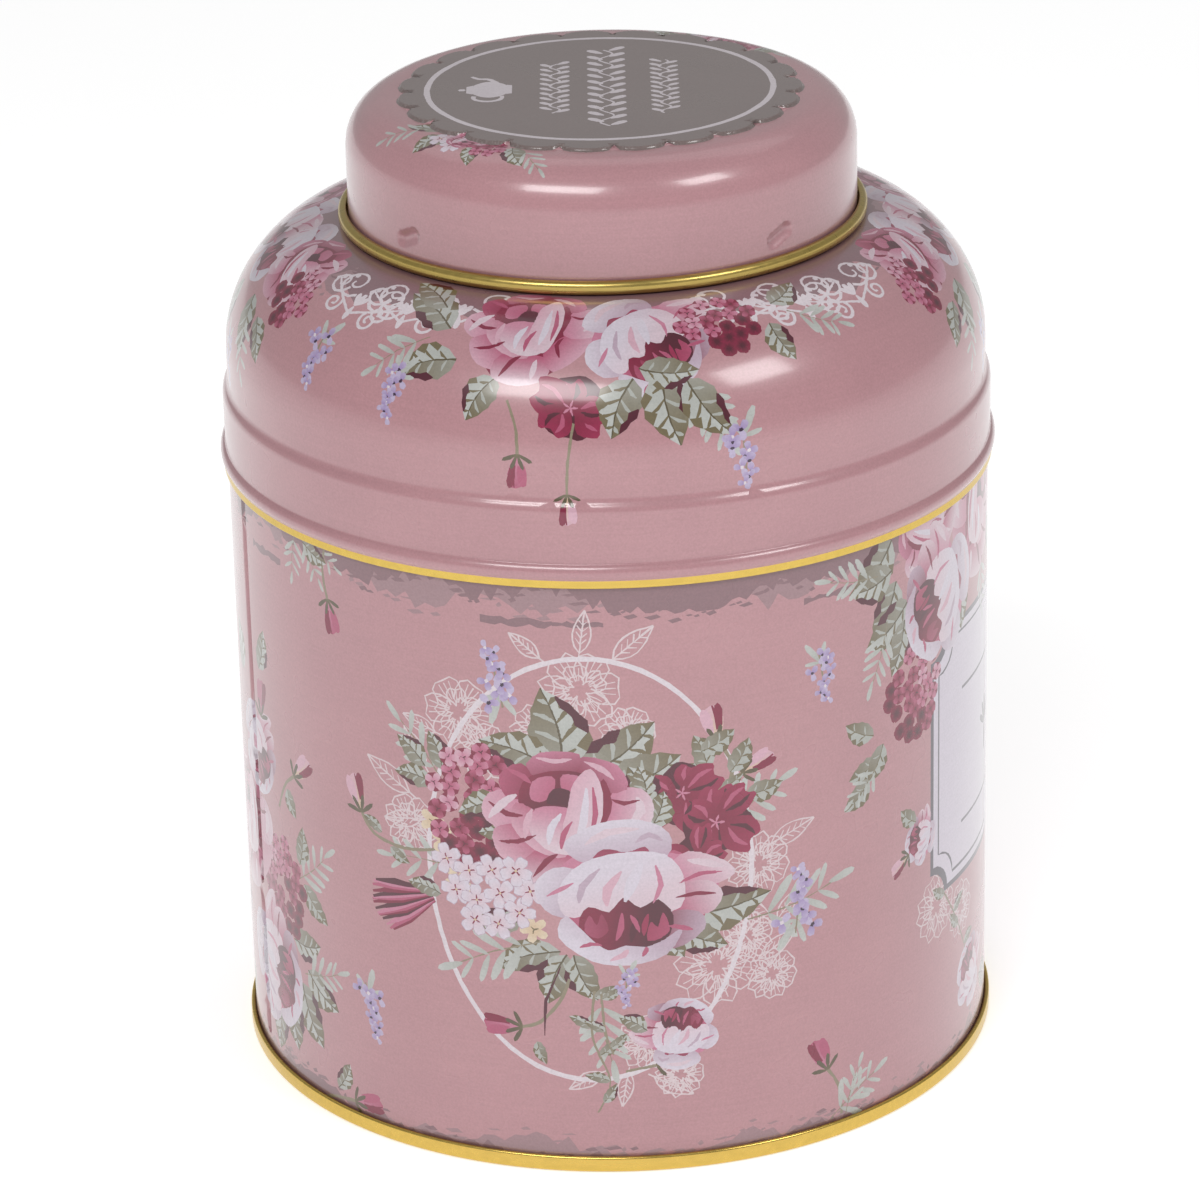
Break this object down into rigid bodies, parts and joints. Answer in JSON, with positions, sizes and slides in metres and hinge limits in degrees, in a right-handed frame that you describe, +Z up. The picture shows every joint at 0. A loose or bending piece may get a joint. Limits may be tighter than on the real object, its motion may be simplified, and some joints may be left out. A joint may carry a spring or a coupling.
{
  "type": "tea caddy",
  "caption": "Round printed tinplate tea caddy with a slip-on shoulder dome and a small embossed press-on cap.",
  "frame": {"origin": "on the surface the caddy stands on, at the centre of the base seam's ring", "axes": "+Z up along the caddy's axis, -Y towards the front panel of the print, +X towards its label plaque"},
  "size_m": [0.1222, 0.1222, 0.1562],
  "materials": {
    "printed_body": "satin printed tinplate, pink floral print",
    "gold_base": "gold lacquered tinplate",
    "printed_dome": "satin printed tinplate, pink floral print",
    "printed_cap": "satin printed tinplate with a bare gold rim"
  },
  "bodies": {
    "body": {"body_wall": "printed_body", "base_end": "gold_base"},
    "dome": {"shoulder_dome": "printed_dome"},
    "cap": {"cap_lid": "printed_cap"}
  },
  "joints": [
    {"name": "dome_lift", "type": "slide", "parent": "body", "child": "dome", "axis": [0, 0, 1], "range_m": [0, 0.12]},
    {"name": "cap_lift", "type": "slide", "parent": "dome", "child": "cap", "axis": [0, 0, 1], "range_m": [0, 0.06]}
  ]
}
